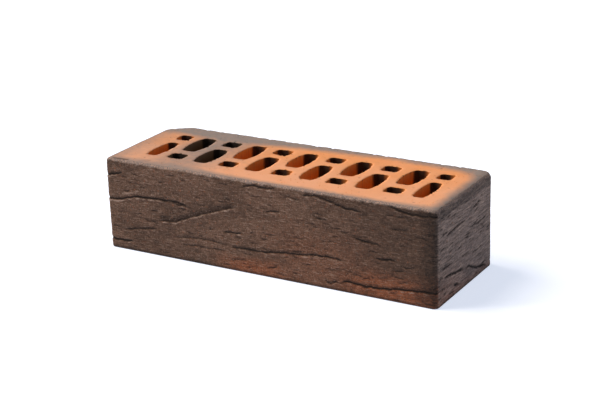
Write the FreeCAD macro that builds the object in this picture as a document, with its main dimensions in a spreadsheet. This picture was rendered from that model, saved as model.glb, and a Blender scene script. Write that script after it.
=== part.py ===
import FreeCAD, Part
import math
import os
import Sketcher

# Perforated clay facing brick: one fired piece, lying on its bed face.
# Frame: +X along the length, +Y from the front stretcher face to the back one, +Z up out of
# the bed; the origin is the middle of the bottom bed face. Millimetres throughout.

doc = FreeCAD.newDocument("perforated_brick")

# ---------------------------------------------------------------- named sizes
sheet = doc.addObject("Spreadsheet::Sheet", "Sizes")
SIZES = [
    # alias, value, what it sets
    ("brick_length", 250.0, "stretcher length along X"),
    ("brick_width", 85.0, "bed width along Y"),
    ("brick_height", 65.0, "course height along Z"),
    ("bevel_run_x", 16.0, "worn back-left corner, along the back face"),
    ("bevel_run_y", 10.0, "worn back-left corner, along the end face"),
    ("round_bevel", 9.0, "blend at both ends of the worn corner"),
    ("round_front_left", 3.0, "vertical corner radius"),
    ("round_front_right", 4.0, "vertical corner radius"),
    ("round_back_right", 5.5, "vertical corner radius"),
    ("arris_top", 2.2, "rounding around the upper bed face"),
    ("arris_bottom", 1.2, "rounding around the lower bed face"),
    ("field_shift", 1.5, "whole hole pattern, off centre along X"),
    ("field_width", 47.2, "hole pattern from rim to rim along Y"),
    ("column_pitch", 20.6, "from one hole column to the next"),
    ("end_column_offset", 101.0, "first and last column from the middle one"),
    ("slot_width", 14.6, "long hole, widest part"),
    ("slot_length", 29.8, "long hole along Y"),
    ("slot_side_radius", 45.0, "bulge of the long hole's sides"),
    ("slot_corner_radius", 3.0, "corners of the long holes"),
    ("square_width", 12.6, "short hole along X"),
    ("square_length", 10.8, "short hole along Y"),
    ("square_side_radius", 30.0, "bulge of the short hole's sides"),
    ("square_corner_radius", 2.6, "corners of the short holes"),
    ("end_slot_width", 10.9, "long hole in the first and last column"),
    ("end_square_width", 10.6, "short hole in the first and last column"),
    ("end_side_radius", 70.0, "bulge of the end columns' sides"),
]
for row, (alias, value, note) in enumerate(SIZES, start=1):
    sheet.set("A%d" % row, alias)
    sheet.set("B%d" % row, repr(value))
    sheet.set("C%d" % row, note)
    sheet.setAlias("B%d" % row, alias)
doc.recompute()


def size(alias):
    """Value of one named size, for the starting shape of a sketch."""
    return float(sheet.get(alias))


def named(alias):
    """Reference to one named size, for an expression."""
    return "Sizes." + alias


# ---------------------------------------------------------------- body and helpers
body = doc.addObject("PartDesign::Body", "BrickBody")
body.Label = "clay_brick"
body.Placement = FreeCAD.Placement()


def origin_plane(role):
    """The body's own datum plane with this role."""
    for feature in body.Origin.OriginFeatures:
        if getattr(feature, "Role", "") == role:
            return feature
    raise RuntimeError("no origin plane " + role)


def new_sketch(name):
    """Empty sketch on the body's bed plane."""
    sketch = body.newObject("Sketcher::SketchObject", name)
    sketch.AttachmentSupport = [(origin_plane("XY_Plane"), "")]
    sketch.MapMode = "FlatFace"
    return sketch


def fix(sketch, constraint, expression):
    """Add a dimension and tie it to an expression of the named sizes."""
    index = sketch.addConstraint(constraint)
    sketch.setExpression("Constraints[%d]" % index, expression)
    return index


def point(x, y):
    return FreeCAD.Vector(x, y, 0.0)


# ---------------------------------------------------------------- outer block
half_x = size("brick_length") / 2.0
half_y = size("brick_width") / 2.0
corners = [
    (-half_x, -half_y),
    (half_x, -half_y),
    (half_x, half_y),
    (-half_x + size("bevel_run_x"), half_y),
    (-half_x, half_y - size("bevel_run_y")),
]
outline = new_sketch("Outline")
for here, (x, y) in enumerate(corners):
    next_x, next_y = corners[(here + 1) % len(corners)]
    outline.addGeometry(Part.LineSegment(point(x, y), point(next_x, next_y)), False)
for here in range(len(corners)):
    after = (here + 1) % len(corners)
    outline.addConstraint(Sketcher.Constraint("Coincident", here, 2, after, 1))
outline.addConstraint(Sketcher.Constraint("Horizontal", 0))
outline.addConstraint(Sketcher.Constraint("Vertical", 1))
outline.addConstraint(Sketcher.Constraint("Horizontal", 2))
outline.addConstraint(Sketcher.Constraint("Vertical", 4))
fix(outline, Sketcher.Constraint("DistanceX", 0, 1, 0, 2, 2 * half_x), named("brick_length"))
fix(outline, Sketcher.Constraint("DistanceY", 1, 1, 1, 2, 2 * half_y), named("brick_width"))
fix(outline, Sketcher.Constraint("DistanceX", -1, 1, 0, 2, half_x), named("brick_length") + " / 2")
fix(outline, Sketcher.Constraint("DistanceY", 0, 1, -1, 1, half_y), named("brick_width") + " / 2")
run_x = Sketcher.Constraint("DistanceX", 3, 2, 3, 1, size("bevel_run_x"))
run_y = Sketcher.Constraint("DistanceY", 3, 2, 3, 1, size("bevel_run_y"))
fix(outline, run_x, named("bevel_run_x"))
fix(outline, run_y, named("bevel_run_y"))
doc.recompute()

block = body.newObject("PartDesign::Pad", "Block")
block.Profile = outline
block.setExpression("Length", named("brick_height"))
outline.Visibility = False
doc.recompute()


# ---------------------------------------------------------------- rounded corners and arrises
def edges_where(feature, wanted):
    """Names of the feature's edges that a test picks out."""
    names = []
    for number, edge in enumerate(feature.Shape.Edges, start=1):
        if wanted(edge):
            names.append("Edge%d" % number)
    if not names:
        raise RuntimeError("no edge found on " + feature.Name)
    return names


def upright_at(x, y):
    """Test for the upright edge that stands at one corner of the plan."""

    def wanted(edge):
        ends = [vertex.Point for vertex in edge.Vertexes]
        if len(ends) != 2 or abs(ends[0].z - ends[1].z) < 1.0:
            return False
        return all(math.hypot(end.x - x, end.y - y) < 0.01 for end in ends)

    return wanted


def level_at(z):
    """Test for an edge that lies wholly at one height."""

    def wanted(edge):
        box = edge.BoundBox
        return abs(box.ZMin - z) < 0.01 and abs(box.ZMax - z) < 0.01

    return wanted


def round_edges(name, base, names, alias):
    """Fillet these edges of the last feature with one named radius."""
    feature = body.newObject("PartDesign::Fillet", name)
    feature.Base = (base, names)
    feature.setExpression("Radius", named(alias))
    doc.recompute()
    return feature


last = block
for name, spot, alias in (
    ("CornerFrontLeft", corners[0], "round_front_left"),
    ("CornerFrontRight", corners[1], "round_front_right"),
    ("CornerBackRight", corners[2], "round_back_right"),
    ("CornerBevelBack", corners[3], "round_bevel"),
    ("CornerBevelEnd", corners[4], "round_bevel"),
):
    last = round_edges(name, last, edges_where(last, upright_at(*spot)), alias)
top_edges = edges_where(last, level_at(size("brick_height")))
last = round_edges("ArrisTop", last, top_edges, "arris_top")
last = round_edges("ArrisBottom", last, edges_where(last, level_at(0.0)), "arris_bottom")


# ---------------------------------------------------------------- holes
def barrel_sketch(name, across, along, bulge, corner, centre_x, centre_y):
    """Closed outline with bulged sides, flat ends and rounded corners.

    Each of the sizes is (starting value, expression).
    """
    sketch = new_sketch(name)
    half_across = across[0] / 2.0
    half_along = along[0] / 2.0
    side = bulge[0]
    turn = corner[0]
    x0, y0 = centre_x[0], centre_y[0]
    # The corner arc touches the side arc from inside and the end line from below.
    corner_y = half_along - turn
    side_x = half_across - side
    corner_x = side_x + math.sqrt((side - turn) ** 2 - corner_y**2)
    lean = math.atan2(corner_y, corner_x - side_x)

    def arc(cx, cy, radius, start, end):
        circle = Part.Circle(point(x0 + cx, y0 + cy), FreeCAD.Vector(0, 0, 1), radius)
        return sketch.addGeometry(Part.ArcOfCircle(circle, start, end), False)

    def line(x_from, x_to, y):
        segment = Part.LineSegment(point(x0 + x_from, y0 + y), point(x0 + x_to, y0 + y))
        return sketch.addGeometry(segment, False)

    # Counter-clockwise from the right-hand side.
    chain = [
        arc(side_x, 0.0, side, -lean, lean),
        arc(corner_x, corner_y, turn, lean, math.pi / 2),
        line(corner_x, -corner_x, half_along),
        arc(-corner_x, corner_y, turn, math.pi / 2, math.pi - lean),
        arc(-side_x, 0.0, side, math.pi - lean, math.pi + lean),
        arc(-corner_x, -corner_y, turn, math.pi + lean, 1.5 * math.pi),
        line(-corner_x, corner_x, -half_along),
        arc(corner_x, -corner_y, turn, 1.5 * math.pi, 2 * math.pi - lean),
    ]
    for here in range(len(chain)):
        after = (here + 1) % len(chain)
        sketch.addConstraint(Sketcher.Constraint("Tangent", chain[here], 2, chain[after], 1))
    right, left = chain[0], chain[4]
    upper, lower = chain[2], chain[6]
    sketch.addConstraint(Sketcher.Constraint("Horizontal", upper))
    sketch.addConstraint(Sketcher.Constraint("Horizontal", lower))
    fix(sketch, Sketcher.Constraint("Radius", right, side), bulge[1])
    fix(sketch, Sketcher.Constraint("Radius", left, side), bulge[1])
    for index in (1, 3, 5, 7):
        fix(sketch, Sketcher.Constraint("Radius", chain[index], turn), corner[1])
    fix(
        sketch,
        Sketcher.Constraint("DistanceX", -1, 1, right, 3, x0 + side_x),
        "(%s) + %s / 2 - %s" % (centre_x[1], across[1], bulge[1]),
    )
    fix(
        sketch,
        Sketcher.Constraint("DistanceX", -1, 1, left, 3, x0 - side_x),
        "(%s) - %s / 2 + %s" % (centre_x[1], across[1], bulge[1]),
    )
    for index in (right, left):
        fix(sketch, Sketcher.Constraint("DistanceY", -1, 1, index, 3, y0), centre_y[1])
    fix(
        sketch,
        Sketcher.Constraint("DistanceY", -1, 1, upper, 1, y0 + half_along),
        "(%s) + %s / 2" % (centre_y[1], along[1]),
    )
    fix(
        sketch,
        Sketcher.Constraint("DistanceY", -1, 1, lower, 1, y0 - half_along),
        "(%s) - %s / 2" % (centre_y[1], along[1]),
    )
    doc.recompute()
    return sketch


def hole_row(name, across, along, bulge, corner, row_side, first, spacing, count):
    """One kind of hole, cut right through and repeated along X."""
    global last
    # The rim nearest the stretcher face sits on the edge of the hole pattern.
    centre_y = (
        row_side * (size("field_width") - size(along)) / 2.0,
        "%d * (%s - %s) / 2" % (row_side, named("field_width"), named(along)),
    )
    sketch = barrel_sketch(
        name + "Outline",
        (size(across), named(across)),
        (size(along), named(along)),
        (size(bulge), named(bulge)),
        (size(corner), named(corner)),
        first,
        centre_y,
    )
    before = last.Shape.Volume
    pocket = body.newObject("PartDesign::Pocket", name)
    pocket.Profile = sketch
    pocket.Type = "Length"
    pocket.setExpression("Length", named("brick_height"))
    pocket.Reversed = True
    sketch.Visibility = False
    doc.recompute()
    one = Part.Face(Part.Wire(Part.__sortEdges__(sketch.Shape.Edges))).Area * size("brick_height")
    if abs(before - pocket.Shape.Volume - one) > 0.001 * one:
        raise RuntimeError(name + " does not cut the whole hole")
    pattern = body.newObject("PartDesign::LinearPattern", name + "Row")
    pattern.Originals = [pocket]
    pattern.Direction = (sketch, ["H_Axis"])
    pattern.Occurrences = count
    pattern.setExpression("Length", "(%s) * %d" % (spacing, count - 1))
    body.Tip = pattern
    doc.recompute()
    if abs(before - pattern.Shape.Volume - count * one) > 0.001 * one:
        raise RuntimeError(name + " row does not cut all its holes")
    last = pattern


def column_x(columns_from_middle):
    """Place of a column, counted from the middle one."""
    value = size("field_shift") + columns_from_middle * size("column_pitch")
    return value, "%s + %d * %s" % (named("field_shift"), columns_from_middle, named("column_pitch"))


first_end = (
    size("field_shift") - size("end_column_offset"),
    "%s - %s" % (named("field_shift"), named("end_column_offset")),
)
two_columns = "2 * " + named("column_pitch")
two_ends = "2 * " + named("end_column_offset")
SLOT = ("slot_width", "slot_length", "slot_side_radius", "slot_corner_radius")
SQUARE = ("square_width", "square_length", "square_side_radius", "square_corner_radius")
END_SLOT = ("end_slot_width", "slot_length", "end_side_radius", "slot_corner_radius")
END_SQUARE = ("end_square_width", "square_length", "end_side_radius", "square_corner_radius")

# Columns take turns: a long hole at the back with a short one in front, then the other way round.
hole_row("SlotsBack", *SLOT, 1, column_x(-4), two_columns, 5)
hole_row("SquaresFront", *SQUARE, -1, column_x(-4), two_columns, 5)
hole_row("SlotsFront", *SLOT, -1, column_x(-3), two_columns, 4)
hole_row("SquaresBack", *SQUARE, 1, column_x(-3), two_columns, 4)
hole_row("EndSlots", *END_SLOT, -1, first_end, two_ends, 2)
hole_row("EndSquares", *END_SQUARE, 1, first_end, two_ends, 2)

# ---------------------------------------------------------------- check and hand over
doc.recompute()
for item in doc.Objects:
    state = " ".join(str(word) for word in item.State)
    if "Invalid" in state or "Error" in state:
        raise RuntimeError(item.Name + " is " + state)
shape = body.Shape
if shape.isNull() or not shape.isValid():
    raise RuntimeError("the brick has no valid shape")
if len(shape.Solids) != 1:
    raise RuntimeError("the brick is not one solid")
os.makedirs("parts", exist_ok=True)
shape.exportStep("parts/clay_brick.step")
box = shape.optimalBoundingBox()
print("clay_brick %.3f x %.3f x %.3f mm" % (box.XLength, box.YLength, box.ZLength))
print("volume %.1f cm3, faces %d" % (shape.Volume / 1000.0, len(shape.Faces)))
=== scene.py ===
import math

import bmesh
import bpy
import numpy as np
from bpy.props import FloatProperty, FloatVectorProperty, IntProperty
from mathutils import Matrix, Vector, geometry, kdtree


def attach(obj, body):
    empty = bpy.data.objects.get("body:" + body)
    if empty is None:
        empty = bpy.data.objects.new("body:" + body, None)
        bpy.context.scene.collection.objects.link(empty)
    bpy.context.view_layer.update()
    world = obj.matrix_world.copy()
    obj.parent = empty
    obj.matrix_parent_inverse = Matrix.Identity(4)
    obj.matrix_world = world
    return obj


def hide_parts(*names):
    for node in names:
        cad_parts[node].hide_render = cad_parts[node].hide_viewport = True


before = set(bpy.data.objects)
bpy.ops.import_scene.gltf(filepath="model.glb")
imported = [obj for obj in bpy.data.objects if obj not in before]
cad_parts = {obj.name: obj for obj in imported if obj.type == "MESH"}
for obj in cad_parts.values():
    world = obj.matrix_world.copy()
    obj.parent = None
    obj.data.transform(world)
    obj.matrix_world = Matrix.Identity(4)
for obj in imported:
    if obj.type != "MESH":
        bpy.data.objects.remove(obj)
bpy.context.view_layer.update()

bl_info = {
    "name": "Perforated facing brick",
    "version": (1, 0, 0),
    "blender": (4, 5, 0),
    "location": "3D View > Sidebar > Brick",
    "description": "A bark-faced, flash-fired clay brick with its perforations, and a plain studio",
    "category": "Add Mesh",
}

NODE = "clay_brick"
MM = 0.001  # sizes are written in millimetres, and the scene is in metres


def from_hex(code):
    """sRGB hex colour as the linear RGBA that the shaders work in."""
    parts = [int(code[i : i + 2], 16) / 255.0 for i in (1, 3, 5)]
    linear = [c / 12.92 if c <= 0.04045 else ((c + 0.055) / 1.055) ** 2.4 for c in parts]
    return (*linear, 1.0)


def number(name, description, default, **limits):
    """A plain value that the user may change."""
    return FloatProperty(name=name, description=description, default=default, **limits)


def whole(name, description, default):
    """A count or a seed that the user may change."""
    return IntProperty(name=name, description=description, default=default, min=0)


def millimetres(name, description, default, low=0.0, high=1000.0):
    """A length that the user may change, in millimetres."""
    return number(name, description, default, min=low, max=high)


def colour(name, description, code):
    """A colour that the user may change."""
    return FloatVectorProperty(
        name=name,
        description=description,
        default=from_hex(code),
        size=4,
        min=0.0,
        max=1.0,
        subtype="COLOR",
    )


class BrickSizes(bpy.types.PropertyGroup):
    """Sizes of the fired piece, in millimetres, as its CAD solid has them."""

    length: millimetres("Length", "Stretcher length along X (mm)", 250.0)
    width: millimetres("Width", "Bed width along Y (mm)", 85.0)
    height: millimetres("Height", "Course height along Z (mm)", 65.0)
    bevel_run_x: millimetres("Worn corner X", "Run of the worn corner on the back face (mm)", 16.0)
    bevel_run_y: millimetres("Worn corner Y", "Run of the worn corner on the end face (mm)", 10.0)
    round_bevel: millimetres("Worn corner blend", "Blend radius of the worn corner (mm)", 9.0)
    round_front_left: millimetres("Front left radius", "Upright corner radius (mm)", 3.0)
    round_front_right: millimetres("Front right radius", "Upright corner radius (mm)", 4.0)
    round_back_right: millimetres("Back right radius", "Upright corner radius (mm)", 5.5)
    arris_top: millimetres("Upper arris", "Rounding around the upper bed (mm)", 2.2)
    arris_bottom: millimetres("Lower arris", "Rounding around the lower bed (mm)", 1.2)
    field_shift: millimetres("Pattern shift", "Hole pattern off centre along X (mm)", 1.5)
    field_width: millimetres("Pattern width", "Hole pattern, rim to rim along Y (mm)", 47.2)
    column_pitch: millimetres("Column pitch", "From one hole column to the next (mm)", 20.6)
    end_offset: millimetres("End column offset", "End columns from the middle one (mm)", 101.0)
    slot_width: millimetres("Slot width", "Long hole, widest part (mm)", 14.6)
    slot_length: millimetres("Slot length", "Long hole along Y (mm)", 29.8)
    slot_side: millimetres("Slot side radius", "Bulge of the long hole's sides (mm)", 45.0)
    slot_corner: millimetres("Slot corner radius", "Corners of the long holes (mm)", 3.0)
    square_width: millimetres("Square width", "Short hole along X (mm)", 12.6)
    square_length: millimetres("Square length", "Short hole along Y (mm)", 10.8)
    square_side: millimetres("Square side radius", "Bulge of the short hole's sides (mm)", 30.0)
    square_corner: millimetres("Square corner radius", "Corners of the short holes (mm)", 2.6)
    end_slot_width: millimetres("End slot width", "Long hole in an end column (mm)", 10.9)
    end_square_width: millimetres("End square width", "Short hole in an end column (mm)", 10.6)
    end_side: millimetres("End side radius", "Bulge of the end columns' sides (mm)", 70.0)


class BrickRelief(bpy.types.PropertyGroup):
    """How rough the surfaces are, in millimetres."""

    bark: number("Bark depth", "Scale of the dragged bark relief", 1.0)
    folds: number("Fold depth", "Scale of the folded clay lips", 1.0)
    rim_wear: millimetres("Rim wear", "How ragged the hole rims are (mm)", 0.55)
    row_step: millimetres("Row step", "Mesh spacing up the faces (mm)", 0.52, 0.2, 5.0)
    bed_step: millimetres("Bed step", "Mesh spacing on the upper bed (mm)", 1.3, 0.5, 9.0)
    back_folds: whole("Back folds", "Seeded folds on the back", 18)
    left_folds: whole("Left folds", "Seeded folds on the worn corner and the left end", 8)
    nicks: whole("Nicks", "Short scratches round the skin", 520)
    pits: whole("Pits", "Torn pits on each bed", 260)
    crumbs: whole("Crumbs", "Grog grains on the upper bed", 420)
    seed: whole("Seed", "Seed for everything random", 7)


class BrickColours(bpy.types.PropertyGroup):
    """Colours of the fired clay."""

    bark: colour("Bark brown", "Manganese-brown die skin", "#543d30")
    bark_dark: colour("Bark groove", "Skin in grooves and shade", "#1f1611")
    bark_light: colour("Bark rubbed", "Skin where it is rubbed", "#785b4b")
    warm: colour("Warm patch", "Where less soot reached the skin", "#894a2a")
    end_grey: colour("End face grey", "Reduced grey-brown of the end faces", "#726561")
    # Also the colour of painted shade in the cracks, at the foot and in the holes' back corners.
    soot_and_shade: colour("Soot", "Darkest smoked clay", "#1b1411")
    # Also the colour of the painted highlight on proud skin and fold lips.
    arris: colour("Arris grey", "Rubbed pale edge round the bed", "#ab9384")
    clay: colour("Orange clay", "Wire-cut bed where the fire was clean", "#e19863")
    clay_pale: colour("Pale clay", "Paler drift on the bed", "#e2a581")
    flash: colour("Flash grey", "Grey-brown flash on the bed", "#8a7f7b")
    core: colour("Core wall", "Clay inside the perforations", "#da8235")
    core_smoked: colour("Smoked core", "Perforations that took the smoke", "#66543f")


class StudioSettings(bpy.types.PropertyGroup):
    """Camera, floor and light."""

    azimuth: number("Azimuth", "Camera round the brick (degrees)", 31.0)
    elevation: number("Elevation", "Camera above the bed (degrees)", 19.8)
    roll: number("Roll", "Camera tilt about its own axis (degrees)", -2.01)
    distance: number("Distance", "Camera from the aim point", 1.034, unit="LENGTH")
    aim: FloatVectorProperty(
        name="Aim",
        description="Point that the camera looks at",
        default=(-0.0037, 0.0124, 0.0349),
        subtype="XYZ",
        unit="LENGTH",
    )
    lens: number("Lens", "Focal length on a 36 mm sensor (mm)", 91.5)
    floor: colour("Floor", "Pale studio floor", "#c6c8cc")
    sky: colour("Sky", "Soft light from all round", "#e2eafa")
    glow: number("Floor glow", "Light that the floor gives off", 0.81)
    walls: number("Tent walls", "Brightness of the tent low down", 1.2)
    top: number("Tent top", "Brightness of the tent overhead", 0.1)


# ------------------------------------------------------------------ small tools
def smooth(low, high, value):
    """0 below low, 1 above high, with an eased step between; low may be the larger."""
    t = np.clip((value - low) / (high - low), 0.0, 1.0)
    return t * t * (3.0 - 2.0 * t)


def bell(value, middle, width):
    """1 at the middle, falling off to both sides over about this width."""
    return np.exp(-(((value - middle) / width) ** 2))


class Lumps:
    """Seeded gradient noise on arrays of points, about -0.7 to 0.7."""

    period = 256  # cells before the noise repeats

    def __init__(self, seed):
        rng = np.random.default_rng(seed)
        self.order = np.tile(rng.permutation(self.period), 3)
        slopes = rng.normal(size=(self.period, 3))
        self.slopes = slopes / np.linalg.norm(slopes, axis=1)[:, None]

    def __call__(self, x, y, z):
        p = np.stack(np.broadcast_arrays(x, y, z), axis=-1).astype(float)
        cell = np.floor(p).astype(int)
        f = p - cell
        ease = f * f * f * (f * (f * 6.0 - 15.0) + 10.0)
        cell %= self.period
        total = np.zeros(p.shape[:-1])
        for step in np.ndindex(2, 2, 2):
            key = self.order[cell[..., 0] + step[0]]
            for axis in (1, 2):
                key = self.order[key + cell[..., axis] + step[axis]]
            weight = np.prod(np.where(step, ease, 1.0 - ease), axis=-1)
            total += weight * np.sum(self.slopes[key] * (f - step), axis=-1)
        return total


def add_node(tree, kind, inputs=None, **settings):
    """Add one node, set its properties, and set or link each named input."""
    node = tree.nodes.new(kind)
    for key, value in settings.items():
        setattr(node, key, value)
    for key, value in (inputs or {}).items():
        if isinstance(value, bpy.types.NodeSocket):
            tree.links.new(value, node.inputs[key])
        else:
            node.inputs[key].default_value = value
    return node


def open_tree(name, inputs):
    """New geometry node tree with these named inputs, and the sockets that give them."""
    tree = bpy.data.node_groups.new(name, "GeometryNodeTree")
    for label, kind in inputs.items():
        tree.interface.new_socket(label, in_out="INPUT", socket_type="NodeSocket" + kind)
    tree.interface.new_socket("Made", in_out="OUTPUT", socket_type="NodeSocketGeometry")
    return tree, add_node(tree, "NodeGroupInput").outputs


def close_tree(tree, copies, material):
    """End a tree: the copies made real, given their material and sent out."""
    real = add_node(tree, "GeometryNodeRealizeInstances", {"Geometry": copies.outputs[0]})
    values = {"Geometry": real.outputs[0], "Material": material}
    done = add_node(tree, "GeometryNodeSetMaterial", values)
    add_node(tree, "NodeGroupOutput", {"Made": done.outputs[0]})
    return tree


def run_tree(obj, tree, values):
    """Run a node tree on an object with these named inputs and keep the plain result."""
    modifier = obj.modifiers.new(tree.name, "NODES")
    modifier.node_group = tree
    for item in tree.interface.items_tree:
        if item.item_type == "SOCKET" and item.in_out == "INPUT" and item.name in values:
            modifier[item.identifier] = values[item.name]
    return plain_mesh(obj)


def plain_mesh(obj):
    """Replace an object's mesh and modifiers by the evaluated result."""
    graph = bpy.context.evaluated_depsgraph_get()
    made = bpy.data.meshes.new_from_object(obj.evaluated_get(graph))
    obj.modifiers.clear()
    obj.data = made
    return made


def put_in_scene(name, mesh):
    """New object at the origin that holds this mesh."""
    obj = bpy.data.objects.new(name, mesh)
    bpy.context.scene.collection.objects.link(obj)
    return obj


# ------------------------------------------------------------------ perforations
RIM_STEP = 0.9  # mm between the points of a hole's outline


def barrel(width, length, side, corner, step=RIM_STEP):
    """Outline of one hole about the origin: bulged sides, flat ends, rounded corners."""
    corner_y = length / 2.0 - corner
    side_x = width / 2.0 - side
    corner_x = side_x + math.sqrt((side - corner) ** 2 - corner_y**2)
    lean = math.atan2(corner_y, corner_x - side_x)

    def arc(cx, cy, radius, start, end):
        count = max(2, round(abs(end - start) * radius / step))
        turn = np.linspace(start, end, count, endpoint=False)
        return np.stack((cx + radius * np.cos(turn), cy + radius * np.sin(turn)), axis=1)

    def line(x_from, x_to, y):
        count = max(2, round(abs(x_to - x_from) / step))
        x = np.linspace(x_from, x_to, count, endpoint=False)
        return np.stack((x, np.full(count, y)), axis=1)

    half = math.pi / 2.0
    return np.concatenate(
        (
            arc(side_x, 0.0, side, -lean, lean),
            arc(corner_x, corner_y, corner, lean, half),
            line(corner_x, -corner_x, length / 2.0),
            arc(-corner_x, corner_y, corner, half, math.pi - lean),
            arc(-side_x, 0.0, side, math.pi - lean, math.pi + lean),
            arc(-corner_x, -corner_y, corner, math.pi + lean, 3.0 * half),
            line(-corner_x, corner_x, -length / 2.0),
            arc(corner_x, -corner_y, corner, 3.0 * half, 4.0 * half - lean),
        )
    )


def perforation_row_tree():
    """Node tree that repeats one hole outline along X, as the core bars of the die do."""
    inputs = {
        "Rim": "Geometry",
        "First column": "Float",
        "Column spacing": "Float",
        "Row offset": "Float",
        "Columns": "Int",
        "Material": "Material",
    }
    tree, given = open_tree("Perforation row", inputs)
    values = {"X": given["First column"], "Y": given["Row offset"]}
    start = add_node(tree, "ShaderNodeCombineXYZ", values).outputs[0]
    stride = add_node(tree, "ShaderNodeCombineXYZ", {"X": given["Column spacing"]}).outputs[0]
    values = {"Count": given["Columns"], "Start Location": start, "Offset": stride}
    columns = add_node(tree, "GeometryNodeMeshLine", values, mode="OFFSET")
    values = {"Points": columns.outputs[0], "Instance": given["Rim"]}
    rims = add_node(tree, "GeometryNodeInstanceOnPoints", values)
    return close_tree(tree, rims, given["Material"])


def perforations(size):
    """Rim loops of all holes as arrays of (x, y) in mm, with each hole's middle and outline."""
    slot = (size.slot_width, size.slot_length, size.slot_side, size.slot_corner)
    square = (size.square_width, size.square_length, size.square_side, size.square_corner)
    end_slot = (size.end_slot_width, size.slot_length, size.end_side, size.slot_corner)
    end_square = (size.end_square_width, size.square_length, size.end_side, size.square_corner)
    pair = 2.0 * size.column_pitch
    first_end = size.field_shift - size.end_offset
    first_even = size.field_shift - 4 * size.column_pitch
    first_odd = size.field_shift - 3 * size.column_pitch
    rows = (
        # outline, 1 behind or -1 in front, first column, spacing, how many
        (slot, 1, first_even, pair, 5),
        (square, -1, first_even, pair, 5),
        (slot, -1, first_odd, pair, 4),
        (square, 1, first_odd, pair, 4),
        (end_slot, -1, first_end, 2.0 * size.end_offset, 2),
        (end_square, 1, first_end, 2.0 * size.end_offset, 2),
    )
    tree = perforation_row_tree()
    holes = []
    for outline, side, first, spacing, count in rows:
        rim = barrel(*outline)
        row_y = side * (size.field_width - outline[1]) / 2.0
        mesh = bpy.data.meshes.new("rim")
        edges = [(i, (i + 1) % len(rim)) for i in range(len(rim))]
        mesh.from_pydata([(x, y, 0.0) for x, y in rim], edges, [])
        obj = put_in_scene("rim", mesh)
        values = {
            "First column": first,
            "Column spacing": spacing,
            "Row offset": row_y,
            "Columns": count,
        }
        made = run_tree(obj, tree, values)
        flat = np.empty(len(made.vertices) * 3)
        made.vertices.foreach_get("co", flat)
        loops = flat.reshape(count, len(rim), 3)[:, :, :2]
        for index in range(count):
            middle = np.array((first + index * spacing, row_y))
            holes.append((loops[index].copy(), middle, outline))
        bpy.data.objects.remove(obj)
        bpy.data.meshes.remove(made)
    return holes


# ------------------------------------------------------------------ plan of the brick
def plan_outline(size):
    """Rounded plan as arrays: place, outward normal and station along the sharp outline.

    The station runs from the front-left corner along the front, the right end, the back,
    the worn corner and the left end, so a fold can run round a corner.
    """
    half_x, half_y = size.length / 2.0, size.width / 2.0
    corners = np.array(
        (
            (-half_x, -half_y),
            (half_x, -half_y),
            (half_x, half_y),
            (-half_x + size.bevel_run_x, half_y),
            (-half_x, half_y - size.bevel_run_y),
        )
    )
    radii = (
        size.round_front_left,
        size.round_front_right,
        size.round_back_right,
        size.round_bevel,
        size.round_bevel,
    )
    # mesh spacing in mm along the front, right end, back, worn corner and left end
    steps = (1.2, 1.4, 1.8, 1.4, 1.7)
    arc_step = 0.65
    count = len(corners)
    runs = [corners[(i + 1) % count] - corners[i] for i in range(count)]
    lengths = [np.linalg.norm(run) for run in runs]
    ways = [run / length for run, length in zip(runs, lengths)]
    stations = np.concatenate(((0.0,), np.cumsum(lengths)))
    turns = []
    for i in range(count):
        before, after = ways[i - 1], ways[i]
        turns.append(math.acos(np.clip(before @ after, -1.0, 1.0)))
    tangents = [radii[i] * math.tan(turns[i] / 2.0) for i in range(count)]
    place, normal, station = [], [], []
    for i in range(count):
        # the arc at this corner, then the straight run after it
        before, after = ways[i - 1], ways[i]
        out_before = np.array((before[1], -before[0]))
        centre = corners[i] - before * tangents[i] - out_before * radii[i]
        start = math.atan2(out_before[1], out_before[0])
        pieces = max(3, round(turns[i] * radii[i] / arc_step))
        for k in range(pieces):
            share = k / pieces
            angle = start + share * turns[i]
            out = np.array((math.cos(angle), math.sin(angle)))
            place.append(centre + out * radii[i])
            normal.append(out)
            station.append(stations[i] + (2.0 * share - 1.0) * tangents[i])
        out = np.array((after[1], -after[0]))
        far = tangents[(i + 1) % count]
        run = lengths[i] - tangents[i] - far
        pieces = max(1, round(run / steps[i]))
        for k in range(pieces):
            along = tangents[i] + run * k / pieces
            place.append(corners[i] + after * along)
            normal.append(out)
            station.append(stations[i] + along)
    return np.array(place), np.array(normal), np.array(station), stations
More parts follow.
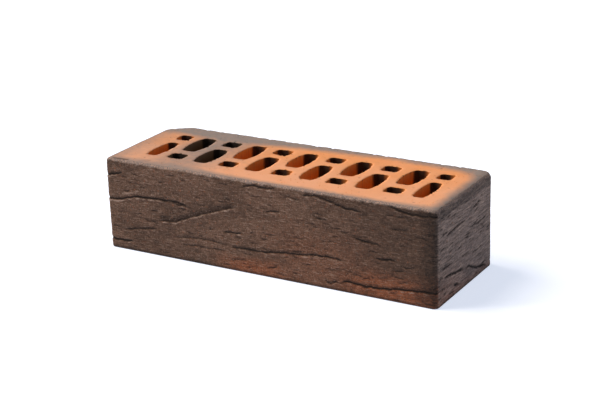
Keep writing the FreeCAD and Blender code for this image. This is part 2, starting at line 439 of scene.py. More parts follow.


# Folds of the bark relief. Each is a depth in mm, how far the clay sinks above
# the crack in mm, and points along the crack: X and Z in mm on the front stretcher face.
FRONT_FOLDS = (
    (1.5, 0.9, ((-127, 52.4), (-118, 54.2), (-109, 56.8))),
    (1.2, 1.0, ((-127, 36.2), (-114, 36.6), (-100, 40.6), (-81, 41.4), (-64, 41.0), (-57, 39.6))),
    (0.5, 0.8, ((-76, 40.6), (-66, 39.8), (-53, 39.2))),
    (1.1, 2.6, ((-83, 26.0), (-69, 27.2), (-59, 31.6), (-49, 35.4), (-39, 39.0),
                (-29, 42.6), (-19, 45.4))),
    (0.8, 0.8, ((-113, 14.6), (-99, 17.6), (-84, 19.8))),
    (1.4, 0.8, ((-127, 6.4), (-116, 6.6), (-104, 7.0))),
    (1.1, 0.8, ((-32, 26.4), (-14, 27.6))),
    (0.9, 0.8, ((1, 45.6), (16, 47.8))),
    (0.9, 1.2, ((-17, 59.0), (-8, 62.6), (2, 61.8), (12, 63.0))),
    (1.0, 1.3, ((29, 61.0), (41, 62.4), (49, 60.6), (54, 59.0), (62, 57.2), (75, 56.4))),
    (1.1, 1.4, ((90, 64.0), (101, 61.4), (106, 60.2), (119, 60.6), (127, 61.4))),
    (0.7, 0.9, ((39, 47.8), (50, 46.4))),
    (0.9, 1.0, ((66, 39.4), (74, 37.2), (88, 36.0))),
    (1.1, 0.8, ((81, 27.2), (98, 28.2))),
    (0.6, 1.2, ((14, 59.6), (22, 58.4), (32, 56.6))),
    (0.35, 1.6, ((34, 50.5), (44, 46.5), (52, 42.5), (58, 38.0))),
    (0.9, 1.2, ((-26, 16.6), (-11, 17.2), (1, 17.2), (11, 19.0), (29, 20.2), (37, 21.8),
                (46, 22.3), (61, 21.4))),
    (1.2, 1.2, ((56, 5.6), (62, 8.0), (72, 6.8), (87, 7.2), (97, 9.0), (111, 10.2), (128, 11.0))),
    (0.8, 1.0, ((44, 7.8), (52, 7.0), (57, 4.6), (50, 2.6))),
    (0.5, 1.0, ((-66, 11.6), (-51, 12.8), (-37, 11.8))),
    (0.5, 1.3, ((-72, 15.8), (-57, 17.8), (-44, 18.6), (-25, 17.0))),
    (0.5, 1.0, ((-28, 6.8), (-21, 8.6), (-10, 9.4))),
    (0.7, 0.9, ((1, 6.4), (6, 7.6), (12, 8.2))),
    (0.6, 0.8, ((92, 48.2), (107, 49.8))),
    (0.4, 0.8, ((-108, 49.6), (-86, 49.8))),
    (0.4, 0.8, ((20, 31.0), (34, 31.8))),
)
# The same on the right end face: Y and Z in mm.
END_FOLDS = (
    (0.8, 0.8, ((-36, 24.2), (-20, 23.4))),
    (1.0, 0.9, ((-33, 18.0), (-20, 16.2), (-13, 15.0), (-1, 13.0))),
    (1.2, 1.1, ((1, 13.6), (10, 10.2), (14, 7.4), (23, 5.6), (30, 4.0), (33, 1.6))),
    (0.9, 1.0, ((-19, 8.2), (-9, 5.0))),
    (0.7, 1.2, ((9, 49.4), (15, 50.6), (24, 52.2))),
    (0.6, 0.9, ((-30, 44.0), (-12, 46.0), (2, 45.2))),
    (0.6, 0.9, ((4, 38.6), (20, 37.0), (34, 38.2))),
)

FINE_POINTS = 160  # along a fold's line, where its corners are eased
FOLD_REACH = 9.0  # mm above and below its line that a fold moves the clay

# The skin's drag relief in layers of noise: weight in mm, size along and up in mm, and shift.
FELT = (
    (0.17, 9.0, 3.4, 0.0),
    (0.15, 4.2, 1.3, 40.0),
    (0.18, 2.4, 1.05, 80.0),
    (0.15, 1.3, 2.2, 120.0),
)
STREAKS = ((0.24, 14.0, 1.9, 160.0), (0.2, 8.0, 1.0, 200.0), (0.14, 2.4, 1.0, 240.0))


def wild_folds(rng, start, end, count):
    """Seeded folds for a face that has none listed, as stations and heights."""
    folds = []
    for _ in range(count):
        depth = rng.uniform(0.4, 1.1)
        reach = rng.uniform(12.0, 48.0)
        at = rng.uniform(start - 4.0, end - reach * 0.6)
        height = rng.uniform(4.0, 61.0)
        slope = rng.normal(0.0, 0.09)
        points = []
        for k in range(5):
            height += rng.normal(0.0, 0.8) + slope * reach / 4.0
            points.append((at + reach * k / 4.0, float(np.clip(height, 2.5, 62.5))))
        folds.append((depth, rng.uniform(0.8, 1.8), tuple(points)))
    return folds


def nicks(rng, start, end, count):
    """Seeded short level scratches, as stations and heights."""
    folds = []
    for _ in range(count):
        at, reach = rng.uniform(start, end), rng.uniform(3.0, 11.0)
        height = rng.uniform(2.0, 61.5)
        rise = rng.normal(0.0, 0.5)
        line = ((at, height), (at + reach / 2.0, height + rise), (at + reach, height + 1.4 * rise))
        folds.append((rng.uniform(0.2, 0.62), rng.uniform(0.3, 0.7), line))
    return folds


def eased_line(points):
    """A fold's line at fine points from end to end, with its corners eased."""
    along, height = np.array(sorted(points), float).T
    fine = np.linspace(along[0], along[-1], FINE_POINTS)
    line = np.interp(fine, along, height)
    ease = 5.0  # mm
    window = max(3, round(FINE_POINTS * ease / (along[-1] - along[0])) | 1)
    padded = np.pad(line, window // 2, mode="edge")
    return fine, np.convolve(padded, np.ones(window) / window, mode="valid")


def fold_relief(station, z, folds, front_end, lumps):
    """Outward push in mm and painted shade in the cracks, 0 to 1, for folds on the unrolled skin.
    """
    push, crack = np.zeros(z.shape), np.zeros(z.shape)
    for number, (depth, spread, points) in enumerate(folds):
        fine, line = eased_line(points)
        start, end = fine[0], fine[-1]
        heights = [height for _, height in points]
        near = (station > start) & (station < end)
        near &= (z > min(heights) - FOLD_REACH) & (z < max(heights) + FOLD_REACH)
        if not near.any():
            continue
        s = station[near]
        # The line wanders a little, and t is the height above it.
        middle = np.interp(s, fine, line)
        middle += 0.8 * lumps(s / 4.5, number * 3.7, 0.0) + 0.8 * lumps(s / 2.3, number, 5.0)
        t = z[near] - middle
        fade = min(5.0, 0.3 * (end - start))
        ends = smooth(0.0, fade, s - start) * smooth(0.0, 1.2 * fade, end - s)
        if start < -1.0 or end > front_end + 1.0:
            # A fold that runs round an edge of the front stays open there.
            from_edge = np.minimum(np.abs(s), np.abs(s - front_end))
            ends = np.maximum(ends, smooth(3.0, 0.0, from_edge) * 0.8)
        ends = ends * (0.8 + 0.5 * lumps(s / 7.0, number, 2.0))
        # The clay sinks slowly above the crack and sharply below it, then rises to a lip.
        above = np.exp(-np.abs(t) / (0.75 * spread))
        below = np.exp(-np.abs(t) / 0.42)
        groove = np.where(t > 0.0, above, below)
        raised = 0.25 + 0.12 * spread + 0.7 * lumps(s / 5.0, number, 13.0)
        lip = bell(t, -1.0, 0.6) * raised + bell(t, 3.2, 1.8) * 0.12
        deep = 1.25 * depth
        push[near] += deep * ends * (lip - groove)
        # Painted shade along the crack: dark on the line, broken up along it, and lighter for broad
        # folds.
        broken = 0.95 + 1.2 * lumps(s / 2.6, number, 9.0) + 0.7 * lumps(s / 0.9, number, 3.0)
        shaded = deep * (1.0 if spread < 1.5 else 0.6)
        wide = 0.26 + 0.24 * min(depth, 1.0)
        dark = np.clip(shaded * ends * broken, 0, 1) * np.exp(-((t / wide) ** 4))
        crack[near] = np.maximum(crack[near], dark)
    return push, crack


def layered(lumps, x, y, z, layers):
    """Sum of the layers of noise that a table such as FELT lists."""
    parts = [w * lumps(x / wide, y / wide, z / high + shift) for w, wide, high, shift in layers]
    return sum(parts)


def skin_rows(size, relief):
    """Heights of the skin's rows and how far the arrises draw each one in, in mm."""
    low, top = size.arris_bottom, size.arris_top
    rise = size.height - top - low
    rows = max(4, round(rise / relief.row_step))
    quarter = math.pi / 2.0
    low_rows, top_rows = 3, 5
    heights = [low - low * math.cos(quarter * k / low_rows) for k in range(low_rows)]
    insets = [low - low * math.sin(quarter * k / low_rows) for k in range(low_rows)]
    heights += [low + rise * k / rows for k in range(rows + 1)]
    insets += [0.0] * (rows + 1)
    for k in range(1, top_rows + 1):
        angle = quarter * k / top_rows
        heights.append(size.height - top + top * math.sin(angle))
        insets.append(top - top * math.cos(angle))
    return np.array(heights), np.array(insets)


def side_skin(size, relief, plan, lumps, rng):
    """The die faces with both arrises, as grids of places in mm, and their masks."""
    place, normal, station, corners = plan
    heights, insets = (column[:, None] for column in skin_rows(size, relief))
    shape = (len(heights), len(station))
    s, z = np.broadcast_to(station, shape), np.broadcast_to(heights, shape)
    out_x, out_y = normal.T
    x, y = place[:, 0] - out_x * insets, place[:, 1] - out_y * insets
    half_x, half_y = size.length / 2.0, size.width / 2.0
    front_end, right_end, back_end, bevel_end, total = corners[1:6]
    on_end = smooth(-3.0, 3.0, s - front_end) * smooth(-3.0, 3.0, right_end - s)
    behind = smooth(-2.0, 4.0, s - right_end) * smooth(-2.0, 4.0, bevel_end - s)

    # On the end face the streaks dip a little towards the back.
    level = z + 0.12 * (y + half_y) * on_end
    felt, streaks = (layered(lumps, x, y, level, layers) for layers in (FELT, STREAKS))
    drag = felt + (streaks - 0.5 * felt) * on_end
    scales = lumps(x / 22.0 + 9.0, y / 22.0, level / 5.0)
    torn = smooth(0.12, 0.4, scales) * lumps(x / 3.2, y / 3.2 + 20.0, level / 1.0)
    swell = 0.32 * lumps(x / 55.0, y / 55.0, z / 26.0 + 3.0)

    folds = []
    for placed, origin in ((FRONT_FOLDS, half_x), (END_FOLDS, half_y + front_end)):
        for depth, spread, line in placed:
            folds.append((depth, spread, [(along + origin, height) for along, height in line]))
    folds += wild_folds(rng, right_end, back_end, relief.back_folds)
    folds += wild_folds(rng, back_end + 4.0, total, relief.left_folds)
    folds += nicks(rng, 0.0, total, relief.nicks)
    push, crack = fold_relief(s, z, folds, front_end, lumps)
    # Folds that run off the left edge of the front reach round onto the left end.
    wrapped, wrapped_crack = fold_relief(s - total, z, folds, front_end, lumps)
    push, crack = push + wrapped, np.maximum(crack, wrapped_crack)

    body = relief.bark * (drag + 0.35 * torn + swell) + relief.folds * push
    body -= relief.bark * 0.12
    # The arrises are rubbed, and the top one is nibbled, most of all at the back.
    nibble = 0.5 * lumps(x / 5.0, y / 5.0, 11.0) + 0.35 * lumps(x / 1.8, y / 1.8, 14.0)
    body += smooth(size.height - 5.0, size.height, z) * (nibble * (0.7 + 1.1 * behind) - 0.15)
    quiet = smooth(0.0, 1.2, z)
    quiet *= 1.0 - 0.5 * smooth(size.height - 1.0, size.height, z)
    body *= quiet * (1.0 - 0.5 * bell(s, right_end, 6.0))
    drop = bed_drop(x, y, size, lumps) * smooth(size.height - 8.0, size.height, z)
    bites = smooth(0.05, 0.4, lumps(x / 4.5, y / 4.5, 57.0))
    bites += smooth(0.1, 0.4, lumps(x / 2.2, y / 2.2, 58.0))
    drop -= 0.7 * behind * bites * smooth(size.height - 2.5, size.height - 0.3, z)

    x, y = x + out_x * body, y + out_y * body
    masks = skin_masks(x, y, z, s, size, front_end, on_end, behind, lumps)
    # The cracks of the folds and nicks add their painted shade to the crack mask.
    masks["crack"] = np.maximum(crack, masks["crack"])
    masks["end_face"] = np.clip(on_end + (s > bevel_end) * 0.8, 0, 1)
    # Proud skin, most of all the fold lips, is drawn paler and sunk skin darker: partly rubbing
    # wear, partly painted highlight and painted shade.
    masks["rubbed"] = np.clip(0.5 + body * 0.9, 0, 1)
    # The rows that touch the beds take their flash.
    masks["flash"] = np.zeros(shape)
    masks["flash"][[0, -1]] = 1.0
    return x, y, z + drop, masks


def skin_masks(x, y, z, s, size, front_end, on_end, behind, lumps):
    """Where the skin is warm, sooty, in painted contact shadow at the foot, rubbed pale at the top
    arris or chipped at the back.
    """
    top = size.height
    warm = warm_patches(x, z, s, front_end, lumps)
    wander = 3.0 * lumps(x / 9.0, y / 9.0, z / 5.0 + 70.0)
    soot_and_shade = np.maximum.reduce(
        (
            # darker at the front's right edge, the front's right half, the top of the end face and
            # the back of the top arris; at the foot all round this is painted contact shadow
            smooth(24.0, 3.0, front_end - s) * smooth(3.0, 0.5, s - front_end),
            0.5 * smooth(140.0, 225.0, s) * (s < front_end) * (1.0 - 0.7 * warm),
            0.7 * on_end * smooth(55.0, 60.0, z + wander) * (1.0 - 0.75 * smooth(62.0, 64.6, z)),
            0.95 * smooth(2.8, 1.2, z),
            0.7 * behind * smooth(top - 2.0, top - 0.6, z),
        )
    )
    ragged = 1.1 * lumps(x / 4.0, y / 4.0, 50.0) + 0.7 * lumps(x / 1.5, y / 1.5, z + 52.0)
    arris = smooth(top - 1.7, top - 0.4, z + ragged) * (1.0 - 0.5 * on_end)
    arris *= 1.0 - 0.4 * behind
    chips = smooth(0.0, 0.3, lumps(x / 3.5, y / 3.5, 54.0)) * smooth(top - 2.4, top, z)
    return {"warm": warm, "soot_and_shade": soot_and_shade, "arris": arris, "crack": 0.75 * behind * chips}


def warm_patches(x, z, s, front_end, lumps):
    """Where the skin is redder: the foot of the front, its lower right, and thinner elsewhere."""
    past_front = s - front_end
    drift = 6.0 * lumps(x / 18.0, z / 9.0, 30.0)
    foot = smooth(17.0, 3.0, z + drift)
    middle = smooth(42.0, 8.0, np.abs(x + 6.0 + drift)) * foot
    right = smooth(34.0, 80.0, x + drift) * smooth(27.0, 5.0, z + drift)
    veil = 0.3 * smooth(60.0, 10.0, np.abs(x - 45.0 + drift)) * smooth(50.0, 20.0, z)
    front = np.maximum(np.maximum(0.9 * middle, right), veil) * (past_front < 2.0)
    end = 0.45 * smooth(8.0, 0.0, z)
    end += 0.4 * smooth(26.0, 4.0, z + drift) * smooth(60.0, 8.0, past_front)
    end *= (past_front >= 0.0) & (past_front < 86.0)
    cloud = lumps(s / 60.0, z / 26.0, 60.0)
    elsewhere = 0.4 * smooth(0.1, 0.5, cloud) * smooth(96.0, 112.0, past_front)
    return np.clip(front + elsewhere + end, 0, 1)


def bed_drop(x, y, size, lumps):
    """How far the upper bed sinks near its ends, where handling has worn it, in mm."""
    from_right = size.length / 2.0 - x
    worn = smooth(8.0, -1.0, from_right + 1.6 * lumps(x / 9.0, y / 9.0, 70.0)) ** 2
    ripple = 0.16 * lumps(x / 16.0, y / 16.0, 71.0)
    return -1.5 * worn + ripple - 0.1


def loop_lattice(loops, outer, step, rng):
    """Jittered hexagonal points between the outer loop and the hole loops."""
    jitter, clearance = 0.18, 0.62  # as shares of the step
    low, high = outer.min(axis=0), outer.max(axis=0)
    row_step = step * math.sqrt(3.0) / 2.0
    points = []
    for j in range(int((high[1] - low[1]) / row_step) + 1):
        shift = 0.5 * step * (j % 2)
        xs = np.arange(low[0] + shift, high[0], step)
        points.append(np.stack((xs, np.full(len(xs), low[1] + j * row_step)), axis=1))
    points = np.concatenate(points)
    points += rng.uniform(-jitter, jitter, points.shape) * step
    keep = inside(points, outer)
    for loop in loops:
        keep &= ~inside(points, loop)
    points = points[keep]
    edge = np.concatenate([outer, *loops])
    tree = kdtree.KDTree(len(edge))
    for index, (x, y) in enumerate(edge):
        tree.insert((x, y, 0.0), index)
    tree.balance()
    near = [tree.find((x, y, 0.0))[2] for x, y in points]
    return points[np.array(near) > clearance * step]


def inside(points, loop):
    """Whether each point is inside a closed loop."""
    found = np.zeros(len(points), bool)
    low, high = loop.min(axis=0), loop.max(axis=0)
    box = np.all((points >= low) & (points <= high), axis=1)
    if not box.any():
        return found
    x, y = points[box, 0], points[box, 1]
    hit = np.zeros(len(x), bool)
    after = np.roll(loop, -1, axis=0)
    for (x1, y1), (x2, y2) in zip(loop, after):
        if y1 == y2:
            continue
        crosses = (y1 > y) != (y2 > y)
        hit ^= crosses & (x < (x2 - x1) * (y - y1) / (y2 - y1) + x1)
    found[box] = hit
    return found


def fill_between(outer, loops, step, rng):
    """Triangles of a bed face between its outer loop and the hole loops.

    Gives the added points, and triangles that count the outer loop first, then the hole
    loops, then the added points.
    """
    extra = loop_lattice(loops, outer, step, rng)
    points = np.concatenate([outer, *loops, extra])
    edges, start = [], 0
    for loop in (outer, *loops):
        count = len(loop)
        edges += [(start + i, start + (i + 1) % count) for i in range(count)]
        start += count
    # Only what the outer loop holds, so no slivers stick to its straight runs.
    within, tolerance = 1, 1e-7
    corners = [Vector(point) for point in points.tolist()]
    made = geometry.delaunay_2d_cdt(corners, edges, [], within, tolerance)
    if len(made[0]) != len(points):
        raise RuntimeError("the bed face could not be filled cleanly")
    source = np.array([origin[0] for origin in made[3]])
    faces = source[np.array(made[2])]
    middle = points[faces].mean(axis=1)
    keep = np.ones(len(faces), bool)
    for loop in loops:
        keep &= ~inside(middle, loop)
    return extra, faces[keep]


# ------------------------------------------------------------------ the brick's mesh
# Of these, crack holds painted shade in the folds' cracks, the bed's pits and the holes' back
# corners and rim patches, with darker chips and crumbs; the skin's smoke-darkening mask also holds
# the painted contact shadow at the foot; rubbed holds rubbing wear with painted highlight and shade
# on the skin, and a paler drift on the bed.
MASKS = ("crack", "warm", "soot_and_shade", "arris", "end_face", "rubbed", "flash", "smoke")
BARK, BED, CORE = 0, 1, 2  # material slots of the brick
MOST_TRIANGLES = 200_000  # at this many triangles or more the build stops with an error


def loop_outward(loop):
    """Unit vectors in plan that point out of a counter-clockwise loop."""
    along = np.roll(loop, -1, axis=0) - np.roll(loop, 1, axis=0)
    along /= np.linalg.norm(along, axis=1)[:, None]
    return np.stack((along[:, 1], -along[:, 0]), axis=1)


# How far in the kiln's grey flash reaches half strength, all in mm: the place along the brick,
# then the reach from the back edge and from the front edge.
FLASH_REACH = (
    (-125.0, 16.0, 5.5),
    (-111.0, 17.0, 7.6),
    (-91.0, 18.0, 7.6),
    (-60.0, 18.0, 7.6),
    (-50.0, 16.5, 7.2),
    (-29.0, 13.5, 5.2),
    (-8.0, 11.5, 4.5),
    (12.0, 10.5, 4.4),
    (33.0, 9.0, 4.8),
    (53.0, 6.5, 4.7),
    (74.0, 8.0, 4.7),
    (94.0, 9.0, 4.7),
    (125.0, 12.0, 9.0),
)
SMOKED_X = -70.0  # middle of the two columns that took the most smoke, in mm


def flash_mask(x, y, size, lumps):
    """Grey flash on a bed: a band along every edge, broad at the left and over two columns."""
    half_x, half_y = size.length / 2.0, size.width / 2.0
    drift = 1.6 * lumps(x / 13.0, y / 13.0, 20.0) + 0.9 * lumps(x / 4.0, y / 4.0, 24.0)
    along, from_back, from_front = np.array(FLASH_REACH).T
    back, front = np.interp(x, along, from_back), np.interp(x, along, from_front)
    clear = 1.0 - smooth(back + 6.0, back - 6.0, half_y - y + drift)
    clear *= 1.0 - 0.72 * smooth(front + 3.6, front - 3.6, y + half_y + 0.8 * drift)
    clear *= 1.0 - 0.95 * smooth(27.0, 8.0, np.hypot(half_x - x, half_y - y) + drift)
    clear *= 1.0 - smooth(11.5, 1.0, half_x - x + drift)
    clear *= 1.0 - 0.6 * smooth(24.0, 1.0, x + half_x + drift)
    smoked = bell(x - 0.1 * y + drift, SMOKED_X, 29.0)
    clear *= 1.0 - smoked * (0.88 + 0.006 * np.minimum(y, 0.0))
    return np.clip(1.0 - clear, 0.0, 1.0)


def bed_relief(x, y, size, pits, lumps, rng):
    """Wire-cut bed: drag lines across it, torn pits and a crack at the front left, in mm, and
    painted shade in the pits and the crack from 0 to 1.
    """
    lines = 0.07 * lumps(x / 1.7, y / 9.0, 30.0) + 0.06 * lumps(x / 2.4, y / 2.4, 33.0)
    torn = np.zeros_like(x)
    for _ in range(pits):
        px = rng.uniform(-size.length / 2.0, size.length / 2.0)
        py = rng.uniform(-size.width / 2.0, size.width / 2.0)
        wide, deep = rng.uniform(0.35, 0.8), rng.uniform(0.15, 0.5)
        away = ((x - px) / (1.5 * wide)) ** 2 + ((y - py) / wide) ** 2
        torn = np.maximum(torn, deep * np.exp(-away))
    along = smooth(-123.0, -120.0, x) * smooth(-106.0, -110.0, x)
    line = -39.5 + 0.11 * (x + 122.0) + 0.9 * lumps(x / 3.0, 0.0, 44.0)
    crack = np.minimum(1.0, 1.4 * along * bell(y, line, 1.1))
    return lines - torn - 0.8 * crack, np.clip(torn * 1.4 + crack, 0.0, 1.0)


class Shell:
    """Collects the brick's vertices in mm, their masks, and faces with material slots."""

    def __init__(self):
        self.places, self.faces, self.slots = [], [], []
        self.masks = {name: [] for name in MASKS}
        self.total = 0

    def add_places(self, x, y, z, **masks):
        """Add vertices with their masks, and give their numbers in the same shape."""
        index = self.total + np.arange(x.size).reshape(x.shape)
        self.places.append(np.stack((x.ravel(), y.ravel(), z.ravel()), axis=1))
        for name in MASKS:
            value = np.asarray(masks.get(name, 0.0), float)
            self.masks[name].append(np.broadcast_to(value.ravel(), (x.size,)))
        self.total += x.size
        return index

    def add_faces(self, faces, slot):
        """Add faces that have one material slot."""
        self.faces.append(faces)
        self.slots.append(np.full(len(faces), slot))

    def add_tube(self, grid, slot):
        """Add the faces between the rows of a grid whose rows are closed loops."""
        beside = np.roll(grid, -1, axis=1)
        quads = np.stack((grid[:-1], beside[:-1], beside[1:], grid[1:]), axis=-1)
        self.add_faces(quads.reshape(-1, 4), slot)


def wall_depths(height):
    """Depths of a hole's rows below the upper bed, in mm: close at both rims, wide between."""
    near = [0.0, 0.2, 0.6, 1.6]
    between = np.linspace(near[-1], height - near[-1], 9)[1:-1]
    return np.array([*near, *between, *[height - depth for depth in reversed(near)]])


def hole_wall(shell, hole, size, relief, lumps, rng):
    """Add one hole's wall, and give its upper and lower rim as places and their numbers."""
    loop, middle, outline = hole
    out = loop_outward(loop)
    depths = wall_depths(size.height)
    down = np.repeat(depths[:, None], len(loop), axis=1)
    lx, ly = (np.broadcast_to(side, down.shape) for side in loop.T)
    z = size.height - down
    from_rim = np.minimum(down, z)
    ragged = 0.9 * lumps(lx / 3.0, ly / 3.0, 90.0) + 0.9 * lumps(lx / 1.2, ly / 1.2, 91.0)
    ragged += 2.2 * smooth(0.22, 0.5, lumps(lx / 1.7, ly / 1.7, 95.0))
    streak = 0.16 * lumps(lx / 1.6, ly / 1.6, z / 30.0) + 0.22 * lumps(lx / 7.0, ly / 7.0, z / 18.0)
    # Shrinkage leaves the walls a hair inside the die's bars.
    shrinkage = 0.2
    offset = relief.rim_wear * ragged * np.exp(-from_rim / 0.45) + streak - shrinkage
    x, y = lx + out[:, 0] * offset, ly + out[:, 1] * offset
    rim_sink = 0.12 * np.exp(-from_rim / 0.3)
    bed_sink = bed_drop(x, y, size, lumps) * np.exp(-down / 3.0)
    z = np.where(down < size.height / 2.0, z - rim_sink + bed_sink, z + rim_sink)

    smoked = smooth(25.0, 14.0, np.abs(middle[0] - SMOKED_X))
    smoked = max(smoked, 0.3 * rng.random())
    flash = np.where(from_rim < 0.1, flash_mask(x, y, size, lumps), smoked)
    # Patches at both rims are darkened as painted shade.
    chipped = smooth(0.05, 0.4, lumps(lx / 1.9, ly / 1.9, 99.0)) * np.exp(-from_rim / 0.8)
    # Painted shade: the back wall goes dark, most at its left corner and less towards the right,
    # and so does the rear of the left wall.
    wisps = lumps(lx / 3.0, ly / 3.0, z / 9.0)
    across = (lx - middle[0]) / outline[0] + 0.15 * wisps
    from_back = middle[1] + outline[1] / 2.0 - ly + 1.6 * wisps
    spread = 3.6 + 3.0 * float(lumps(middle[0] / 9.0, middle[1] / 9.0, 97.0))
    back_wall_shade = smooth(0.35, 0.85, out[:, 1]) * (0.97 - 0.82 * smooth(0.0, 0.4, across))
    left_wall_shade = 0.96 * smooth(spread + 1.2, spread - 1.2, from_back)
    left_wall_shade *= smooth(0.05, -0.25, across)
    painted_corner_shade = np.maximum(back_wall_shade, left_wall_shade) * smooth(0.0, 0.2, down)
    dark = np.maximum(chipped, painted_corner_shade)
    # The walls' crack mask is all painted shade.
    wall = shell.add_places(x, y, z, smoke=smoked, flash=flash, crack=dark)
    shell.add_tube(wall, CORE)
    return [(np.stack((x[row], y[row]), axis=1), wall[row]) for row in (0, -1)]


def bed_face(shell, outer, rims, upper, size, relief, lumps, rng):
    """Fill the upper or the lower bed between the skin and the rims of the holes."""
    loops, indices = zip(outer, *rims)
    step = relief.bed_step if upper else 1.9 * relief.bed_step
    extra, triangles = fill_between(loops[0], loops[1:], step, rng)
    x, y = extra.T
    lift, dark = bed_relief(x, y, size, relief.pits, lumps, rng)
    from_back = size.width / 2.0 - y
    wander = 1.5 * lumps(x / 2.5, y / 2.5, 46.0)
    # The bed is drawn darker in a band along its back edge.
    dark = np.maximum(dark, 0.6 * smooth(4.6, 1.4, from_back + wander))
    to_edge = np.minimum(size.length / 2.0 - np.abs(x), size.width / 2.0 - np.abs(y))
    lift *= smooth(1.6, 4.0, to_edge)
    # The lower bed is what the brick stands on, so nothing on it goes below zero.
    z = size.height + bed_drop(x, y, size, lumps) + lift if upper else np.maximum(-lift, 0.0)
    pale = smooth(34.0, -36.0, y)
    flash = flash_mask(x, y, size, lumps)
    added = shell.add_places(x, y, z, flash=flash, crack=dark, rubbed=pale)
    triangles = np.concatenate([*indices, added])[triangles]
    flat = np.concatenate(shell.places)[:, :2]
    a, b, c = (flat[triangles[:, k]] for k in range(3))
    turn = (b[:, 0] - a[:, 0]) * (c[:, 1] - a[:, 1]) - (b[:, 1] - a[:, 1]) * (c[:, 0] - a[:, 0])
    wrong = (turn < 0.0) if upper else (turn > 0.0)
    triangles[wrong] = triangles[wrong][:, ::-1]
    shell.add_faces(triangles, BED)


def build_brick(size, relief):
    """The whole piece as a closed shell, in mm."""
    rng = np.random.default_rng(relief.seed)
    lumps = Lumps(relief.seed)
    shell = Shell()
    x, y, z, masks = side_skin(size, relief, plan_outline(size), lumps, rng)
    skin = shell.add_places(x, y, z, **masks)
    shell.add_tube(skin, BARK)
    rims = [hole_wall(shell, hole, size, relief, lumps, rng) for hole in perforations(size)]
    upper_rims, lower_rims = zip(*rims)
    for upper, row, ends in ((True, -1, upper_rims), (False, 0, lower_rims)):
        outer = (np.stack((x[row], y[row]), axis=1), skin[row])
        bed_face(shell, outer, ends, upper, size, relief, lumps, rng)
    return shell


def brick_mesh(size, relief):
    """The fired piece as one closed mesh, in metres."""
    shell = build_brick(size, relief)
    mesh = bpy.data.meshes.new("clay_brick_fired")
    polygons = [face for part in shell.faces for face in part.tolist()]
    mesh.from_pydata((np.concatenate(shell.places) * MM).tolist(), [], polygons)
    slots = np.concatenate(shell.slots).astype(np.int32)
    mesh.polygons.foreach_set("material_index", slots)
    mesh.polygons.foreach_set("use_smooth", np.ones(len(polygons), bool))
    for name, parts in shell.masks.items():
        layer = mesh.attributes.new(name, "FLOAT", "POINT")
        layer.data.foreach_set("value", np.concatenate(parts).astype(np.float32))
    mesh.update()
    return mesh


# ------------------------------------------------------------------ fired clay finishes
class Finish:
    """A material's node tree, with the parts that every fired clay finish starts from."""

    def __init__(self, name, roughness):
        self.material = bpy.data.materials.new(name)
        self.material.use_nodes = True
        self.tree = self.material.node_tree
        self.tree.nodes.clear()
        # Dry fired clay: no gloss, just a little grazing sheen.
        values = {"Roughness": roughness, "IOR": 1.5, "Specular IOR Level": 0.25}
        self.shader = self.add("ShaderNodeBsdfPrincipled", values)
        self.add("ShaderNodeOutputMaterial", {"Surface": self.shader.outputs[0]})
        self.place = self.add("ShaderNodeTexCoord").outputs["Object"]

    def add(self, kind, inputs=None, **settings):
        """Add a node to this finish."""
        return add_node(self.tree, kind, inputs, **settings)

    def lumps(self, x_mm, y_mm, z_mm, detail=3.0, rough=0.55):
        """Noise whose lumps are this big along each axis, in mm."""
        scale = tuple(1.0 / (MM * length) for length in (x_mm, y_mm, z_mm))
        mapped = self.add("ShaderNodeMapping", {"Vector": self.place, "Scale": scale})
        values = {"Vector": mapped.outputs[0], "Scale": 1.0, "Detail": detail, "Roughness": rough}
        return self.add("ShaderNodeTexNoise", values).outputs["Fac"]

    def mask(self, name):
        """One of the masks that the mesh carries."""
        return self.add("ShaderNodeAttribute", attribute_name=name).outputs["Fac"]

    def span(self, value, low, high, most=1.0, least=0.0):
        """Stretch the range from low to high onto least to most, held at its ends."""
        values = {"Value": value, 1: low, 2: high, 3: least, 4: most}
        return self.add("ShaderNodeMapRange", values).outputs[0]

    def math(self, operation, first, second):
        return self.add("ShaderNodeMath", {0: first, 1: second}, operation=operation).outputs[0]

    def times(self, first, second):
        return self.math("MULTIPLY", first, second)

    def coats(self, base, *layers):
        """Lay colours over the base one after another, each as its share and the colour."""
        for share, tone in layers:
            values = {0: share, 6: base, 7: tone}  # the colour mode's factor, under and over
            base = self.add("ShaderNodeMix", values, data_type="RGBA").outputs[2]
        return base

    def finish(self, colour_out, *bumps):
        """Link up the colour and bumps, each as height, depth in mm and strength."""
        normal = None
        for height, depth, strength in bumps:
            values = {"Height": height, "Distance": depth * MM, "Strength": strength}
            if normal is not None:
                values["Normal"] = normal
            normal = self.add("ShaderNodeBump", values).outputs[0]
        self.tree.links.new(colour_out, self.shader.inputs["Base Color"])
        self.tree.links.new(normal, self.shader.inputs["Normal"])
        return self.material


